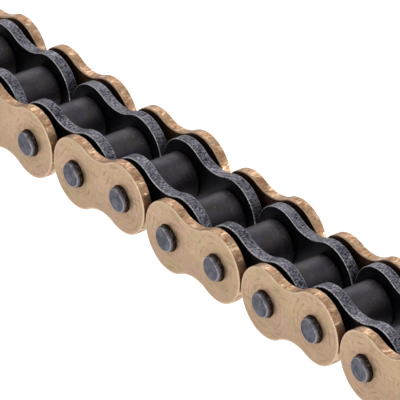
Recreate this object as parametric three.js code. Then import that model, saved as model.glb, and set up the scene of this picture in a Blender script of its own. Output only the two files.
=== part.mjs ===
// Sealed motorcycle roller chain, 530 size: a strand of twelve pitches.
//
// Outer links (two plates and two pins) and inner links (two plates, two bushes and two rollers)
// take turns along +X. The pins lie along Y, and +Z is up. Lengths are in millimetres.
// The strand lies loosely, so each link is tilted a few degrees to its neighbours.
// The origin is the centre of the bounding box's bottom face.

import * as THREE from 'three';

// Driving dimensions of the chain
const PITCH = 15.875;
const LINK_PAIRS = 6;

const INNER_WIDTH = 9.9; // between the two inner plates
const INNER_PLATE = { thickness: 2.4, lobeRadius: 7.6, waistHalfHeight: 5.65 };
const OUTER_PLATE = { thickness: 2.25, lobeRadius: 7.7, waistHalfHeight: 5.7 };
const SEAL_GAP = 1.35; // between an inner and an outer plate, where the seal ring sits

const PIN_RADIUS = 2.75;
const PIN_PROTRUSION = 1.3; // past the outer plate
const PIN_CHAMFER = 0.3;

const BUSH_RADIUS = 3.75;
const BUSH_PROTRUSION = 0.6; // past the inner plate, to seat the seal ring
const ROLLER_RADIUS = 5.08;
const ROLLER_CHAMFER = 0.4;
const ROLLER_SIDE_PLAY = 0.15; // to each inner plate

// Gaps on the radius. The round pieces are many-sided, so these also clear the corners.
const PRESS_GAP = 0.07; // pin in outer plate, bush in inner plate
const RUNNING_GAP = 0.1; // pin in bush, bush in roller

// Sides of the round pieces, and steps on a plate's outline
const PIN_SIDES = 18;
const BUSH_SIDES = 20;
const ROLLER_SIDES = 24;
const HOLE_SIDES = 20;
const LOBE_STEPS = 14;
const WAIST_STEPS = 6;

// How much each link rises towards +X, in degrees, outer and inner links taking turns
const LINK_TILTS = [1.6, -2.1, -1.5, -0.7, 4.4, -6.9, 1.6, -3.4, 5.8, -4.6, 3.2, -2];

// Places across the chain, measured from its middle plane
const innerPlateInside = INNER_WIDTH / 2;
const innerPlateOutside = innerPlateInside + INNER_PLATE.thickness;
const outerPlateInside = innerPlateOutside + SEAL_GAP;
const outerPlateOutside = outerPlateInside + OUTER_PLATE.thickness;
const pinHalfLength = outerPlateOutside + PIN_PROTRUSION;
const bushHalfLength = innerPlateOutside + BUSH_PROTRUSION;
const rollerHalfLength = innerPlateInside - ROLLER_SIDE_PLAY;

const FINISHES = {
  outer_plate: { color: 0xd0b088, roughness: 0.38, metalness: 0.9 },
  inner_plate: { color: 0x34333a, roughness: 0.45, metalness: 0.7 },
  pin: { color: 0x5e5f6c, roughness: 0.4, metalness: 0.8 },
  bush: { color: 0x77777c, roughness: 0.35, metalness: 0.9 },
  roller: { color: 0x2b292b, roughness: 0.45, metalness: 0.6 },
};

function piece(name, finish, geometry) {
  const mesh = new THREE.Mesh(geometry, new THREE.MeshStandardMaterial(FINISHES[finish]));
  mesh.name = name;
  return mesh;
}

// Points of an arc about (cx, cy), leaving out the last one, where the next arc starts
function arcPoints(cx, cy, radius, from, to, steps) {
  const points = [];
  for (let i = 0; i < steps; i++) {
    const angle = from + ((to - from) * i) / steps;
    points.push(new THREE.Vector2(cx + radius * Math.cos(angle), cy + radius * Math.sin(angle)));
  }
  return points;
}

// A figure-of-eight plate, its first hole at the origin and its second one pitch along +X.
// Round lobes about both holes are joined by hollow arcs that touch them. It lies in the
// XZ plane and is as thick as it says, from y = 0 towards -Y.
function plateGeometry({ thickness, lobeRadius, waistHalfHeight }, holeRadius) {
  const half = PITCH / 2;
  const waistRadius =
    (half ** 2 + waistHalfHeight ** 2 - lobeRadius ** 2) / (2 * (lobeRadius - waistHalfHeight));
  const waistCentre = waistHalfHeight + waistRadius;
  const lean = Math.atan2(waistCentre, half); // from the pitch line to where lobe and waist touch
  const turn = Math.PI / 2 - lean;

  const outline = new THREE.Shape([
    ...arcPoints(PITCH, 0, lobeRadius, lean - Math.PI, Math.PI - lean, LOBE_STEPS),
    ...arcPoints(half, waistCentre, waistRadius, -lean, -Math.PI / 2 - turn, WAIST_STEPS),
    ...arcPoints(0, 0, lobeRadius, lean, 2 * Math.PI - lean, LOBE_STEPS),
    ...arcPoints(half, -waistCentre, waistRadius, Math.PI / 2 + turn, lean, WAIST_STEPS),
  ]);
  for (const x of [0, PITCH]) {
    outline.holes.push(new THREE.Path(arcPoints(x, 0, holeRadius, 0, -2 * Math.PI, HOLE_SIDES)));
  }
  const geometry = new THREE.ExtrudeGeometry(outline, { depth: thickness, bevelEnabled: false });
  return geometry.rotateX(Math.PI / 2);
}

// A solid of revolution about the Y axis, from its half profile as [radius, y] pairs
function turnedGeometry(profile, sides) {
  return new THREE.LatheGeometry(profile.map(([r, y]) => new THREE.Vector2(r, y)), sides);
}

function pinGeometry() {
  const flat = pinHalfLength - PIN_CHAMFER;
  const endRadius = PIN_RADIUS - PIN_CHAMFER;
  return turnedGeometry(
    [[0, -pinHalfLength], [endRadius, -pinHalfLength], [PIN_RADIUS, -flat],
      [PIN_RADIUS, flat], [endRadius, pinHalfLength], [0, pinHalfLength]],
    PIN_SIDES,
  );
}

function bushGeometry() {
  const bore = PIN_RADIUS + RUNNING_GAP;
  return turnedGeometry(
    [[BUSH_RADIUS, -bushHalfLength], [BUSH_RADIUS, bushHalfLength],
      [bore, bushHalfLength], [bore, -bushHalfLength], [BUSH_RADIUS, -bushHalfLength]],
    BUSH_SIDES,
  );
}

function rollerGeometry() {
  const bore = BUSH_RADIUS + RUNNING_GAP;
  const flat = rollerHalfLength - ROLLER_CHAMFER;
  const endRadius = ROLLER_RADIUS - ROLLER_CHAMFER;
  return turnedGeometry(
    [[endRadius, -rollerHalfLength], [ROLLER_RADIUS, -flat], [ROLLER_RADIUS, flat],
      [endRadius, rollerHalfLength], [bore, rollerHalfLength], [bore, -rollerHalfLength],
      [endRadius, -rollerHalfLength]],
    ROLLER_SIDES,
  );
}

// Two plates on a link, their inner faces at the given distance from the middle plane
function addPlates(link, name, finish, plate, inside, holeRadius) {
  const front = piece(`${name}_plate_front`, finish, plateGeometry(plate, holeRadius));
  const back = piece(`${name}_plate_back`, finish, plateGeometry(plate, holeRadius));
  front.position.y = -inside;
  back.position.y = inside + plate.thickness;
  link.add(front, back);
}

// Two like round pieces on a link, one at each hole
function addPair(link, name, kind, geometry) {
  ['a', 'b'].forEach((end, i) => {
    const mesh = piece(`${name}_${kind}_${end}`, kind, geometry());
    mesh.position.x = i * PITCH;
    link.add(mesh);
  });
}

function outerLink(number) {
  const link = new THREE.Group();
  const name = `outer${number}`;
  addPlates(link, name, 'outer_plate', OUTER_PLATE, outerPlateInside, PIN_RADIUS + PRESS_GAP);
  addPair(link, name, 'pin', pinGeometry);
  return link;
}

function innerLink(number) {
  const link = new THREE.Group();
  const name = `inner${number}`;
  addPlates(link, name, 'inner_plate', INNER_PLATE, innerPlateInside, BUSH_RADIUS + PRESS_GAP);
  addPair(link, name, 'bush', bushGeometry);
  addPair(link, name, 'roller', rollerGeometry);
  return link;
}

// Links end to end, each starting at the pin where the last one ends
function strand() {
  const group = new THREE.Group();
  const pin = new THREE.Vector3();
  LINK_TILTS.forEach((degrees, i) => {
    const number = Math.floor(i / 2) + 1;
    const link = i % 2 === 0 ? outerLink(number) : innerLink(number);
    const tilt = THREE.MathUtils.degToRad(degrees);
    link.position.copy(pin);
    link.rotation.y = -tilt;
    pin.x += PITCH * Math.cos(tilt);
    pin.z += PITCH * Math.sin(tilt);
    group.add(link);
  });
  return group;
}

// The whole strand, moved so that it stands on z = 0 with the origin under its middle
function chain() {
  const group = strand();
  group.updateMatrixWorld(true);
  const box = new THREE.Box3().setFromObject(group, true);
  const middle = box.getCenter(new THREE.Vector3());
  group.position.set(-middle.x, -middle.y, -box.min.z);
  return group;
}

export default chain();
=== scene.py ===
"""Sealed motorcycle roller chain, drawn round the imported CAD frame.

Every CAD node is replaced by a finer piece of the same size in the same place, and rubber X-rings,
which the CAD leaves out, are added between the inner and the outer plates. The strand runs along X,
the pins lie along Y, and Z is up. Lengths are in millimetres, except in the studio, where they are
in metres. The scale of a noise is in features per metre.
"""
import math
from typing import NamedTuple

import bmesh
import bpy
from mathutils import Matrix, Vector
from mathutils.geometry import tessellate_polygon

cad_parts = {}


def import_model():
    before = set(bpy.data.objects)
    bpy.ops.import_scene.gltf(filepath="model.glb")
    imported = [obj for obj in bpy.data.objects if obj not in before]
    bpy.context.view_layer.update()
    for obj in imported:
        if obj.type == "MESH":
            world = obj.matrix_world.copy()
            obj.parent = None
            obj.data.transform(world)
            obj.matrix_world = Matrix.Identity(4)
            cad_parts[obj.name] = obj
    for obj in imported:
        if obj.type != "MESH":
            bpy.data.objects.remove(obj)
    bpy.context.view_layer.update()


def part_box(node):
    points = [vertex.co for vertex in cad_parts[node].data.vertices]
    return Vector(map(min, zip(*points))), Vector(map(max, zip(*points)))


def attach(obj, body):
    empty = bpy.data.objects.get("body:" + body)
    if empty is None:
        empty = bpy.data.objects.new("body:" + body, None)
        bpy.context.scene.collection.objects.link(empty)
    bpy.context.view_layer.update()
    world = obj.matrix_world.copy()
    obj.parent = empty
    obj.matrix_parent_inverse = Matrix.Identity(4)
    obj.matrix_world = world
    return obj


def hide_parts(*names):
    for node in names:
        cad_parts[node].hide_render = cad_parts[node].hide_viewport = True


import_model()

MM = 0.001
LINK_PAIRS = 6
SIDES = (("front", -1), ("back", 1))

# Radii and half lengths of the round pieces
PIN_R, PIN_HALF = 2.75, 12.25
BUSH_R, BUSH_BORE, BUSH_HALF = 3.75, 2.85, 7.95
ROLLER_R, ROLLER_BORE, ROLLER_HALF = 5.08, 3.85, 4.8


class Plate(NamedTuple):
    """inside and outside are its faces, from the chain's middle plane. lobe and waist are its half
    heights, hole is its holes' radius. The edge of the outer face is rolled off over roll_width and
    roll_depth, that of the inner face over back_roll both ways."""
    inside: float
    outside: float
    lobe: float
    waist: float
    hole: float
    roll_width: float
    roll_depth: float
    back_roll: float


HOLE_GAP = 0.03
OUTER_PLATE = Plate(inside=8.7, outside=10.95, lobe=7.69, waist=5.7, hole=PIN_R + HOLE_GAP,
                    roll_width=0.45, roll_depth=0.2, back_roll=0.28)
INNER_PLATE = Plate(inside=4.95, outside=7.35, lobe=7.59, waist=5.65, hole=BUSH_R + HOLE_GAP,
                    roll_width=0.3, roll_depth=0.25, back_roll=0.2)

# A plate's face and wall keep flat strips beside the rolled corners, so that they shade flat
FACE_STRIP, WALL_STRIP = 0.08, 0.1
HOLE_CHAMFER, BACK_HOLE_CHAMFER = 0.16, 0.12

# Each pin end is staked: its side is pressed in at one angle, to a flat that slants
STAKE_ANGLE = math.radians(52)
STAKE_SPREAD = 1.2  # to either side of that angle, in radians
STAKE_FLAT = 1.85  # from the axis, at the end of the pin
STAKE_DEPTH = 1.15  # from there to where the flat starts, along the pin

# An X-ring's section has four lips that touch an ellipse, and hollows between them that go in to
# this share of it. The ellipse's middle is SEAL_R from the axis.
SEAL_R = 4.28
SEAL_HALF_HEIGHT, SEAL_HALF_WIDTH = 0.612, 0.825
SEAL_HOLLOW = 0.515

# Points round each shape
LOBE_STEPS, WAIST_STEPS = 56, 20
ROLL_STEPS, BACK_ROLL_STEPS = 6, 4
ROUND_STEPS, PIN_STEPS, SEAL_STEPS = 72, 96, 24

# Faces that meet at more than this angle show an edge
SHARP_ANGLE = math.radians(32)


# ---------------------------------------------------------------- places from the frame

def centre(node):
    """The middle of a CAD node's box, in mm."""
    low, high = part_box(node)
    return [(low[i] + high[i]) / 2 / MM for i in range(3)]


def on_axis(node):
    """The matrix that puts a round piece where a round node is."""
    x, _, z = centre(node)
    return Matrix.Translation((x, 0, z))


def link_place(first, second):
    """The matrix from a link's own axes (u along the link from its middle, y, v up) to the frame,
    and the link's pitch, from the nodes at its two holes."""
    a, b = centre(first), centre(second)
    along = Vector((b[0] - a[0], 0, b[2] - a[2]))
    middle = Vector(((a[0] + b[0]) / 2, 0, (a[2] + b[2]) / 2))
    tilt = math.atan2(along.z, along.x)
    return Matrix.Translation(middle) @ Matrix.Rotation(-tilt, 4, "Y"), along.length


# ---------------------------------------------------------------- mesh making

class Solid:
    """Collects rings of points and the faces between them. Materials see a point's place on the
    piece as "plate". "zone" is (edge, corner, depth) on a plate and (rim, 0, y) on a round piece."""

    def __init__(self):
        self.points, self.faces, self.zones = [], [], []

    def ring(self, points, zone):
        """Adds points that share a zone, and returns their numbers."""
        start = len(self.points)
        self.points += points
        self.zones += [zone] * len(points)
        return range(start, len(self.points))

    def join(self, a, b):
        n = len(a)
        self.faces += [(a[i], a[(i + 1) % n], b[(i + 1) % n], b[i]) for i in range(n)]

    def skin(self, rings):
        for a, b in zip(rings, rings[1:]):
            self.join(a, b)

    def fill(self, rings):
        """A flat face across Y inside the first ring, with the others as its holes."""
        places = [Vector((x, z, 0)) for x, _, z in self.points]
        triangles = tessellate_polygon([[places[i] for i in ring] for ring in rings])
        numbers = [i for ring in rings for i in ring]
        self.faces += [tuple(numbers[i] for i in triangle) for triangle in triangles]

    def cap(self, ring):
        """A flat end inside a ring about the Y axis."""
        y = self.points[ring[0]][1]
        middle = self.ring([(0, y, 0)], (0, 0, y))[0]
        n = len(ring)
        self.faces += [(middle, ring[i], ring[(i + 1) % n]) for i in range(n)]

    def make(self, name, place):
        mesh = bpy.data.meshes.new(name)
        mesh.from_pydata([tuple((place @ Vector(p)) * MM) for p in self.points], [], self.faces)
        for key, values in (("plate", self.points), ("zone", self.zones)):
            layer = mesh.attributes.new(key, "FLOAT_VECTOR", "POINT")
            layer.data.foreach_set("vector", [c for value in values for c in value])
        bm = bmesh.new()
        bm.from_mesh(mesh)
        bmesh.ops.recalc_face_normals(bm, faces=bm.faces)
        bm.to_mesh(mesh)
        bm.free()
        mesh.polygons.foreach_set("use_smooth", [True] * len(mesh.polygons))
        mesh.set_sharp_from_angle(angle=SHARP_ANGLE)
        piece = bpy.data.objects.new(name, mesh)
        bpy.context.scene.collection.objects.link(piece)
        return piece


def outline(inset, lobe, waist, pitch):
    """A plate's outline moved inwards, as (u, v) pairs."""
    half = pitch / 2
    hollow = (half**2 + waist**2 - lobe**2) / (2 * (lobe - waist))
    rise = waist + hollow
    lean = math.atan2(rise, half)
    arcs = [
        (half, 0, lobe - inset, lean - math.pi, math.pi - lean, LOBE_STEPS),
        (0, rise, hollow + inset, -lean, lean - math.pi, WAIST_STEPS),
        (-half, 0, lobe - inset, lean, 2 * math.pi - lean, LOBE_STEPS),
        (0, -rise, hollow + inset, math.pi - lean, lean, WAIST_STEPS),
    ]
    points = []
    for u, v, radius, start, end, steps in arcs:
        for i in range(steps):
            angle = start + (end - start) * i / steps
            points.append((u + radius * math.cos(angle), v + radius * math.sin(angle)))
    return points


def circle(u, radius):
    """Points of a circle about (u, 0), as (u, v) pairs."""
    angles = [2 * math.pi * i / ROUND_STEPS for i in range(ROUND_STEPS)]
    return [(u + radius * math.cos(a), radius * math.sin(a)) for a in angles]


def rolled(width, depth, steps):
    """A rounded corner as (inset, depth, edge). edge goes from 0 on the face to 1 on the wall."""
    corner = []
    for k in range(steps + 1):
        angle = math.pi / 2 * k / steps
        corner.append((width * (1 - math.sin(angle)), depth * (1 - math.cos(angle)), k / steps))
    return corner


def plate_section(plate):
    """A plate's edge from its outer face to its inner, as (inset, depth, edge, corner). corner is 1
    in the middle of a rolled corner and 0 away from it."""
    thickness = plate.outside - plate.inside
    section = [(plate.roll_width + FACE_STRIP, 0, 0, 0)]
    for inset, depth, edge in rolled(plate.roll_width, plate.roll_depth, ROLL_STEPS):
        section.append((inset, depth, edge, math.sin(math.pi * edge)))
    section.append((0, plate.roll_depth + WALL_STRIP, 1, 0))
    section.append((0, thickness - plate.back_roll - WALL_STRIP, 1, 0))
    for inset, depth, edge in reversed(rolled(plate.back_roll, plate.back_roll, BACK_ROLL_STEPS)):
        section.append((inset, thickness - depth, edge, math.sin(math.pi * edge)))
    section.append((plate.back_roll + FACE_STRIP, thickness, 0, 0))
    return section


def plate_piece(name, place, pitch, side, plate):
    """A figure-of-eight plate. side is -1 at the front and 1 at the back."""
    solid = Solid()

    def ring(pairs, depth, edge, corner):
        y = side * (plate.outside - depth)
        return solid.ring([(u, y, v) for u, v in pairs], (edge, corner, depth))

    walls = [ring(outline(inset, plate.lobe, plate.waist, pitch), depth, edge, corner)
             for inset, depth, edge, corner in plate_section(plate)]
    solid.skin(walls)
    thickness = plate.outside - plate.inside
    hole_section = ((HOLE_CHAMFER, 0), (0, HOLE_CHAMFER),
                    (0, thickness - BACK_HOLE_CHAMFER), (BACK_HOLE_CHAMFER, thickness))
    outer_face, inner_face = [walls[0]], [walls[-1]]
    for u in (-pitch / 2, pitch / 2):
        hole = [ring(circle(u, plate.hole + grow), depth, 0, 0) for grow, depth in hole_section]
        solid.skin(hole)
        outer_face.append(hole[0])
        inner_face.append(hole[-1])
    solid.fill(outer_face)
    solid.fill(inner_face)
    return solid.make(name, place)


def turned(name, place, profile, closed, dent=None, steps=ROUND_STEPS):
    """A solid of revolution about Y. profile lists (radius, y, rim), where rim is 1 on an edge with
    a painted highlight, and its end joins its start if it is closed. dent(angle, radius, y) changes
    a radius."""
    solid = Solid()
    rings = []
    for radius, y, rim in profile:
        points = []
        for i in range(steps):
            angle = 2 * math.pi * i / steps
            r = dent(angle, radius, y) if dent else radius
            points.append((r * math.cos(angle), y, r * math.sin(angle)))
        rings.append(solid.ring(points, (rim, 0, y)))
    solid.skin(rings)
    if closed:
        solid.join(rings[-1], rings[0])
    else:
        solid.cap(rings[0])
        solid.cap(rings[-1])
    return solid.make(name, place)


# ---------------------------------------------------------------- profiles of the round pieces

def pin_profile():
    face = [(radius, PIN_HALF, 0) for radius in (0.6, 1.2, 1.7, 2.1, 2.35)]
    corner = [(2.44, PIN_HALF - 0.02, 1), (2.5, PIN_HALF - 0.08, 1), (2.56, PIN_HALF - 0.18, 0.6),
              (2.66, PIN_HALF - 0.38, 0.3), (2.73, PIN_HALF - 0.55, 0.1)]
    side = [(PIN_R, PIN_HALF - back, 0) for back in (0.7, 0.85, 1.0, STAKE_DEPTH)]
    half = face + corner + side
    return half + [(PIN_R, 0, 0)] + [(radius, -y, rim) for radius, y, rim in reversed(half)]


def pin_dent(angle, radius, y):
    """The radius where a pin end is staked. The flat is a little wavy."""
    reach = max(0.0, (abs(y) - (PIN_HALF - STAKE_DEPTH)) / STAKE_DEPTH)
    off = (angle - STAKE_ANGLE + math.pi) % (2 * math.pi) - math.pi
    if reach == 0 or abs(off) > STAKE_SPREAD:
        return radius
    flat = PIN_R + (STAKE_FLAT - PIN_R) * reach
    wave = 0.12 * reach * math.sin(5 * off + 1) + 0.06 * reach * math.sin(11 * off)
    return min(radius, (flat + wave) / math.cos(off))


def rounded_end(radius, half, rounding, steps, sign):
    """Profile points round a tube's outside corner, from the flat end to the side."""
    points = []
    for k in range(steps + 1):
        angle = math.pi / 2 * k / steps
        points.append((radius - rounding * (1 - math.sin(angle)),
                       sign * (half - rounding * (1 - math.cos(angle))), 0))
    return points


def tube_profile(radius, bore, half, rounding, steps, chamfer):
    """A tube with rounded corners outside and chamfers in its bore."""
    low = rounded_end(radius, half, rounding, steps, -1)
    high = rounded_end(radius, half, rounding, steps, 1)
    inside = [(bore + chamfer, half, 0), (bore, half - chamfer, 0),
              (bore, -half + chamfer, 0), (bore + chamfer, -half, 0)]
    return low + high[::-1] + inside


def roller_profile():
    return tube_profile(ROLLER_R, ROLLER_BORE, ROLLER_HALF, rounding=0.55, steps=6, chamfer=0.2)


def bush_profile():
    return tube_profile(BUSH_R, BUSH_BORE, BUSH_HALF, rounding=0.2, steps=3, chamfer=0.15)


def seal_profile(side):
    """An X-ring, midway between an inner and an outer plate."""
    middle = side * (INNER_PLATE.outside + OUTER_PLATE.inside) / 2
    points = []
    for k in range(SEAL_STEPS):
        angle = 2 * math.pi * k / SEAL_STEPS
        reach = (1 + SEAL_HOLLOW) / 2 - (1 - SEAL_HOLLOW) / 2 * math.cos(4 * angle)
        points.append((SEAL_R + SEAL_HALF_HEIGHT * reach * math.cos(angle),
                       middle + SEAL_HALF_WIDTH * reach * math.sin(angle), 0))
    return points


# ---------------------------------------------------------------- materials

class Shader:
    """A Principled material, with short ways to make the nodes that feed it."""

    def __init__(self, name, metallic):
        self.material = bpy.data.materials.new(name)
        self.material.use_nodes = True
        self.tree = self.material.node_tree
        self.bsdf = self.tree.nodes["Principled BSDF"]
        self.bsdf.inputs["Metallic"].default_value = metallic
        self.object = self.tree.nodes.new("ShaderNodeTexCoord").outputs["Object"]

    def feed(self, socket, value):
        if isinstance(value, bpy.types.NodeSocket):
            self.tree.links.new(value, socket)
        else:
            socket.default_value = value

    def attribute(self, name):
        """The three values that a Solid keeps under this name."""
        node = self.tree.nodes.new("ShaderNodeAttribute")
        node.attribute_name = name
        split = self.tree.nodes.new("ShaderNodeSeparateXYZ")
        self.tree.links.new(node.outputs["Vector"], split.inputs[0])
        return split.outputs[:3]

    def math(self, operation, a, b=0.0):
        node = self.tree.nodes.new("ShaderNodeMath")
        node.operation = operation
        self.feed(node.inputs[0], a)
        self.feed(node.inputs[1], b)
        return node.outputs[0]

    def add(self, a, b):
        return self.math("ADD", a, b)

    def subtract(self, a, b):
        return self.math("SUBTRACT", a, b)

    def multiply(self, a, b):
        return self.math("MULTIPLY", a, b)

    def noise(self, scale, detail=3, rough=0.55, turn=0):
        """scale is one number, or one for each axis where the noise is stretched. Stretched noise
        can be turned about Y, by degrees."""
        node = self.tree.nodes.new("ShaderNodeTexNoise")
        coordinates = self.object
        if isinstance(scale, tuple):
            mapping = self.tree.nodes.new("ShaderNodeMapping")
            self.tree.links.new(self.object, mapping.inputs["Vector"])
            mapping.inputs["Scale"].default_value = scale
            mapping.inputs["Rotation"].default_value = (0, math.radians(turn), 0)
            coordinates, scale = mapping.outputs[0], 1
        self.tree.links.new(coordinates, node.inputs["Vector"])
        for key, value in (("Scale", scale), ("Detail", detail), ("Roughness", rough)):
            node.inputs[key].default_value = value
        return node.outputs["Fac"]

    def ramp(self, value, *stops):
        """stops are (position, value or colour), with positions from 0 to 1."""
        node = self.tree.nodes.new("ShaderNodeValToRGB")
        self.tree.links.new(value, node.inputs[0])
        points = node.color_ramp.elements
        while len(points) < len(stops):
            points.new(1.0)
        for point, (position, colour) in zip(points, stops):
            point.position = position
            point.color = (*colour, 1) if isinstance(colour, tuple) else (colour, colour, colour, 1)
        return node.outputs[0]

    def mix(self, factor, a, b, blend="MIX"):
        node = self.tree.nodes.new("ShaderNodeMix")
        node.data_type, node.blend_type = "RGBA", blend
        self.feed(node.inputs[0], factor)
        for socket, value in ((node.inputs[6], a), (node.inputs[7], b)):
            self.feed(socket, (*value, 1) if isinstance(value, tuple) else value)
        return node.outputs[2]

    def finish(self, colour, rough, height, depth):
        """depth is how deep the bumps of height are, in mm."""
        self.feed(self.bsdf.inputs["Base Color"], colour)
        self.feed(self.bsdf.inputs["Roughness"], rough)
        bump = self.tree.nodes.new("ShaderNodeBump")
        bump.inputs["Distance"].default_value = depth * MM
        self.tree.links.new(height, bump.inputs["Height"])
        self.tree.links.new(bump.outputs[0], self.bsdf.inputs["Normal"])
        return self.material


def distance_from_pin(s, pitch):
    """How far a point of a plate is from the nearer hole's middle, in centimetres."""
    u, _, v = s.attribute("plate")
    along = s.subtract(s.math("ABSOLUTE", u), pitch / 2)
    square = s.add(s.multiply(along, along), s.multiply(v, v))
    return s.math("DIVIDE", s.math("SQRT", square), 10)


def plating(s):
    """Gold in two tints, grainy, and darkened towards a plate's lower edge by painted shade."""
    pink, green, painted_low_shade = (0.548, 0.356, 0.245), (0.500, 0.366, 0.214), (0.85, 0.84, 0.83)
    tint = s.mix(s.ramp(s.noise(330, 3, 0.6), (0.36, 0), (0.64, 1)), pink, green)
    grain = s.ramp(s.noise(900, 6, 0.8), (0.30, 0.74), (0.70, 1.16))
    up = s.add(s.multiply(s.attribute("plate")[2], 0.05), 0.25)
    uneven = s.add(up, s.multiply(s.noise(260, 3, 0.6), 0.5))
    # Painted shade: the gold is darkened in patches towards the plate's lower edge.
    low_shade = s.ramp(uneven, (0.36, 1), (0.58, 0))
    return s.mix(low_shade, s.mix(1.0, tint, grain, "MULTIPLY"), painted_low_shade, "MULTIPLY")


def scratches(s):
    """Fine straight scratches in several directions, in patches."""
    lines = 0.0
    for turn in (20, -35, 70, -65):
        line = s.ramp(s.noise((140, 140, 5200), 2, 0.5, turn), (0.63, 0), (0.70, 1))
        lines = s.math("MAXIMUM", lines, line)
    return s.multiply(lines, s.ramp(s.noise(260, 2), (0.42, 0), (0.62, 1)))


def rub_marks(s, distance):
    """Broken arcs round the pins, that wander a little."""
    wander = s.multiply(s.noise(330, 3, 0.6), 6.0)
    waves = s.math("SINE", s.add(s.multiply(distance, 46), wander))
    reach = s.ramp(distance, (0.34, 0.3), (0.45, 1), (0.62, 1), (0.74, 0.2))
    patches = s.ramp(s.noise(420, 3, 0.6), (0.50, 0), (0.60, 1))
    return s.multiply(s.multiply(reach, patches), s.ramp(waves, (0.55, 0), (0.95, 1)))


def gold_material(pitch):
    scratched, worn_and_shaded, rubbed = (0.26, 0.165, 0.095), (0.27, 0.165, 0.095), (0.24, 0.15, 0.085)
    shaded, painted_highlight = (0.20, 0.095, 0.060), (0.84, 0.68, 0.50)
    s = Shader("champagne_gold_plating", metallic=0.95)
    edge, corner, depth = s.attribute("zone")
    distance = distance_from_pin(s, pitch)

    face = plating(s)
    marks = scratches(s)
    face = s.mix(s.multiply(marks, 0.75), face, scratched)
    # A patchy ring round each pin is darkened: wear, and painted contact shade where the pin meets
    # the plate.
    near = s.ramp(distance, (0.27, 1), (0.35, 0.7), (0.50, 0))
    wear_and_pin_shade = s.multiply(near, s.ramp(s.noise(700, 4, 0.7), (0.44, 0.2), (0.60, 1)))
    face = s.mix(s.multiply(wear_and_pin_shade, 0.75), face, worn_and_shaded)
    rub = rub_marks(s, distance)
    face = s.mix(s.multiply(rub, 0.65), face, rubbed)
    # The inner face and the rolled corner beside it are darkened: painted shade of the narrow gap
    # between the plates.
    inner_face_shade = s.ramp(depth, (0.55, 0), (0.75, 1))
    face = s.mix(inner_face_shade, face, shaded)

    patch = s.noise((560, 300, 560), 3, 0.6)
    shear = s.add(s.noise((2300, 1000, 2300), 4, 0.65), s.multiply(s.subtract(patch, 0.5), 0.80))
    wall = s.ramp(shear, (0.30, (0.32, 0.170, 0.088)), (0.43, (0.46, 0.268, 0.150)),
                  (0.58, (0.54, 0.345, 0.212)), (0.74, (0.70, 0.515, 0.340)))

    colour = s.mix(edge, face, wall)
    # The rolled corner is lightened towards pale gold: a painted highlight.
    colour = s.mix(s.multiply(corner, 0.45), colour, painted_highlight)
    rough = s.mix(edge, s.ramp(s.noise(900, 4), (0.3, 0.32), (0.7, 0.50)),
                  s.ramp(shear, (0.36, 0.56), (0.52, 0.45), (0.68, 0.24)))
    face_height = s.subtract(s.subtract(s.noise(2600, 4, 0.6), marks), rub)
    return s.finish(colour, rough, s.mix(edge, face_height, s.multiply(shear, 0.45)), 0.012)


def inner_plate_material():
    painted_highlight = (0.72, 0.71, 0.74)
    s = Shader("black_oxide_plate", metallic=0.9)
    edge, corner, _ = s.attribute("zone")
    cloud = s.noise(300, 4, 0.6)
    face = s.ramp(cloud, (0.35, (0.006, 0.005, 0.008)), (0.7, (0.018, 0.016, 0.020)))
    speck = s.noise((3300, 1700, 3300), 3, 0.6)
    pits = s.add(speck, s.multiply(s.subtract(s.noise(150, 2), 0.5), 0.30))
    wall = s.ramp(pits, (0.38, (0.026, 0.024, 0.036)), (0.48, (0.130, 0.126, 0.155)),
                  (0.60, (0.205, 0.200, 0.235)), (0.72, (0.38, 0.37, 0.40)))
    # The rolled corner is lightened nearly white, more on specks: a painted glint.
    glint = s.multiply(corner, s.ramp(speck, (0.40, 0.45), (0.52, 1)))
    colour = s.mix(glint, s.mix(edge, face, wall), painted_highlight)
    rough = s.mix(edge, s.ramp(cloud, (0.3, 0.38), (0.7, 0.55)),
                  s.ramp(pits, (0.4, 0.55), (0.7, 0.33)))
    height = s.mix(edge, s.noise(2400, 4, 0.6), s.multiply(pits, 2.4))
    return s.finish(colour, rough, height, 0.018)


def roller_material():
    brown, dusty = (0.075, 0.056, 0.044), (0.20, 0.17, 0.14)
    s = Shader("black_oxide_roller", metallic=0.85)
    _, _, y = s.attribute("zone")
    cloud = s.noise(260, 4, 0.6)
    colour = s.ramp(cloud, (0.3, (0.052, 0.046, 0.060)), (0.7, (0.082, 0.073, 0.091)))
    smudge = s.ramp(s.noise(430), (0.52, 0), (0.68, 0.8))
    colour = s.mix(smudge, colour, brown)
    dust = s.ramp(s.add(s.noise(2700, 2), s.multiply(y, 0.018)), (0.66, 0), (0.74, 0.9))
    colour = s.mix(dust, colour, dusty)
    rough = s.ramp(s.noise((260, 1500, 260)), (0.3, 0.42), (0.7, 0.56))
    return s.finish(colour, rough, s.noise(2200, 4, 0.6), 0.010)


def pin_material():
    painted_highlight = (0.36, 0.355, 0.39)
    s = Shader("slate_steel_pin", metallic=0.9)
    rim, _, y = s.attribute("zone")
    cloud = s.noise(620, 4, 0.6)
    face = s.ramp(cloud, (0.34, (0.046, 0.045, 0.060)), (0.66, (0.128, 0.126, 0.158)))
    speck = s.noise(2600)
    # The pin's side beyond its end face is painted dark brown with light specks: painted shade.
    side_shade = s.ramp(speck, (0.38, (0.014, 0.009, 0.007)), (0.58, (0.050, 0.034, 0.028)),
                   (0.72, (0.20, 0.16, 0.14)))
    side = s.math("LESS_THAN", s.math("ABSOLUTE", y), PIN_HALF - 0.06)
    # The chamfer round each end face is lightened: a painted highlight.
    colour = s.mix(s.multiply(rim, 0.85), s.mix(side, face, side_shade), painted_highlight)
    rough = s.ramp(s.noise(1200), (0.3, 0.34), (0.7, 0.5))
    return s.finish(colour, rough, s.mix(side, s.noise(1500, 4, 0.6), speck), 0.03)


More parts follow.
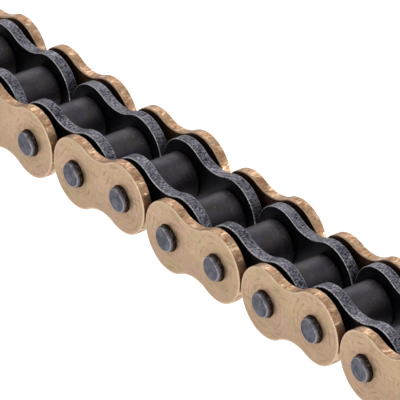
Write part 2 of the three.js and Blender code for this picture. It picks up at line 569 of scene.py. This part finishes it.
def bush_material():
    s = Shader("ground_steel_bush", metallic=1.0)
    band = s.noise((300, 3200, 300))
    colour = s.ramp(band, (0.3, (0.18, 0.18, 0.19)), (0.7, (0.30, 0.30, 0.31)))
    return s.finish(colour, s.ramp(band, (0.3, 0.28), (0.7, 0.42)), band, 0.006)


def rubber_material():
    s = Shader("seal_ring_rubber", metallic=0.0)
    cloud = s.noise(500, 4, 0.6)
    colour = s.ramp(cloud, (0.3, (0.010, 0.010, 0.011)), (0.7, (0.022, 0.021, 0.022)))
    return s.finish(colour, s.ramp(cloud, (0.3, 0.42), (0.7, 0.6)), s.noise(3500), 0.008)


# ---------------------------------------------------------------- the chain

def place_piece(piece, materials, body, slot, *nodes):
    piece.data.materials.append(materials[slot])
    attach(piece, body)
    if nodes:
        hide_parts(*nodes)


def add_plates(link, hole_piece, plate, materials, body, slot):
    place, pitch = link_place(f"{link}_{hole_piece}_a", f"{link}_{hole_piece}_b")
    for end, side in SIDES:
        node = f"{link}_plate_{end}"
        piece = plate_piece(node + "_detail", place, pitch, side, plate)
        place_piece(piece, materials, body, slot, node)


def outer_link(n, materials):
    body = f"outer_link_{n}"
    add_plates(f"outer{n}", "pin", OUTER_PLATE, materials, body, "outer_plate")
    for end in "ab":
        node = f"outer{n}_pin_{end}"
        pin = turned(node + "_detail", on_axis(node), pin_profile(), False, pin_dent, PIN_STEPS)
        place_piece(pin, materials, body, "pin", node)


def add_seals(n, end, materials):
    """The seal rings round one bush's two ends."""
    for name, side in SIDES:
        seal = turned(f"inner{n}_seal_{end}_{name}", on_axis(f"inner{n}_bush_{end}"),
                      seal_profile(side), True)
        place_piece(seal, materials, f"inner_link_{n}", "seal_ring")


def inner_link(n, materials):
    body = f"inner_link_{n}"
    add_plates(f"inner{n}", "bush", INNER_PLATE, materials, body, "inner_plate")
    for end in "ab":
        for kind, profile, owner in (("bush", bush_profile(), body),
                                     ("roller", roller_profile(), f"roller_{n}{end}")):
            node = f"inner{n}_{kind}_{end}"
            piece = turned(node + "_detail", on_axis(node), profile, True)
            place_piece(piece, materials, owner, kind, node)
        if n < LINK_PAIRS or end == "a":
            add_seals(n, end, materials)


def chain():
    """Links in turn. The strand's last bush has no outer link, and so no seal rings."""
    _, pitch = link_place("outer1_pin_a", "outer1_pin_b")
    materials = {
        "outer_plate": gold_material(pitch), "inner_plate": inner_plate_material(),
        "roller": roller_material(), "pin": pin_material(), "bush": bush_material(),
        "seal_ring": rubber_material(),
    }
    for n in range(1, LINK_PAIRS + 1):
        outer_link(n, materials)
        inner_link(n, materials)


# ---------------------------------------------------------------- studio, in metres

def floor():
    """A white table, so far below the strand that it can fold downwards in a ring."""
    reach, z = 6.0, -0.08
    corners = [(-reach, -reach, z), (reach, -reach, z), (reach, reach, z), (-reach, reach, z)]
    mesh = bpy.data.meshes.new("floor")
    mesh.from_pydata(corners, [], [(0, 1, 2, 3)])
    piece = bpy.data.objects.new("floor", mesh)
    bpy.context.scene.collection.objects.link(piece)
    s = Shader("white_table", metallic=0.0)
    s.bsdf.inputs["Emission Color"].default_value = (1, 1, 1, 1)
    s.bsdf.inputs["Emission Strength"].default_value = 0.93
    colour = s.ramp(s.noise(30), (0.3, 0.30), (0.7, 0.33))
    mesh.materials.append(s.finish(colour, 0.6, s.noise(900), 0.01))


def world():
    """Soft grey surroundings, paler near the horizon than overhead."""
    low, high, strength = (0.1, (0.62, 0.62, 0.63, 1)), (0.9, (0.36, 0.36, 0.37, 1)), 0.8
    scene = bpy.context.scene
    scene.world = bpy.data.worlds.new("studio")
    scene.world.use_nodes = True
    tree = scene.world.node_tree
    background = tree.nodes["Background"]
    direction = tree.nodes.new("ShaderNodeTexCoord")
    split = tree.nodes.new("ShaderNodeSeparateXYZ")
    ramp = tree.nodes.new("ShaderNodeValToRGB")
    for point, (position, colour) in zip(ramp.color_ramp.elements, (low, high)):
        point.position, point.color = position, colour
    tree.links.new(direction.outputs["Generated"], split.inputs[0])
    tree.links.new(split.outputs["Z"], ramp.inputs[0])
    tree.links.new(ramp.outputs[0], background.inputs["Color"])
    background.inputs["Strength"].default_value = strength


def area_light(name, place, aim, size, watts):
    data = bpy.data.lights.new(name, "AREA")
    data.shape, data.size, data.size_y = "RECTANGLE", *size
    data.energy = watts
    light = bpy.data.objects.new(name, data)
    light.location = place
    light.visible_camera = False
    light.rotation_euler = (Vector(aim) - Vector(place)).to_track_quat("-Z", "Y").to_euler()
    bpy.context.scene.collection.objects.link(light)


def camera():
    """The photograph's view, from far off with a long lens. Angles are in degrees."""
    azimuth, elevation, roll = (math.radians(v) for v in (54.148, 29.569, 1.282))
    aim, distance = Vector((-0.004, 0, 0.011133)), 1.31092
    lens, sensor = 592.49, 36  # in mm
    nearest, farthest = 0.05, 50
    forward = Vector((-math.sin(azimuth) * math.cos(elevation),
                      math.cos(azimuth) * math.cos(elevation), -math.sin(elevation)))
    right = Vector((math.cos(azimuth), math.sin(azimuth), 0))
    down = forward.cross(right)
    x = math.cos(roll) * right + math.sin(roll) * down
    y = math.sin(roll) * right - math.cos(roll) * down
    data = bpy.data.cameras.new("camera")
    data.lens, data.sensor_width, data.sensor_fit = lens, sensor, "HORIZONTAL"
    data.clip_start, data.clip_end = nearest, farthest
    cam = bpy.data.objects.new("camera", data)
    cam.matrix_world = (Matrix.Translation(aim - forward * distance)
                        @ Matrix((x, y, -forward)).transposed().to_4x4())
    bpy.context.scene.collection.objects.link(cam)
    bpy.context.scene.camera = cam


camera()
chain()
floor()
world()
area_light("back_left", (-0.62, 0.5, 0.61), aim=(0, 0, 0), size=(0.9, 0.7), watts=2.85)
area_light("top", (0.28, 0.42, 0.80), aim=(0, 0, 0), size=(0.6, 0.6), watts=1.0)
area_light("front", (0.0, -1.0, 0.42), aim=(0, 0, 0), size=(1.3, 0.8), watts=4.2)
area_light("right_low", (0.86, 0.52, 0.18), aim=(0, 0, 0.01), size=(0.45, 0.25), watts=1.9)
bpy.context.scene.view_settings.view_transform = "Standard"
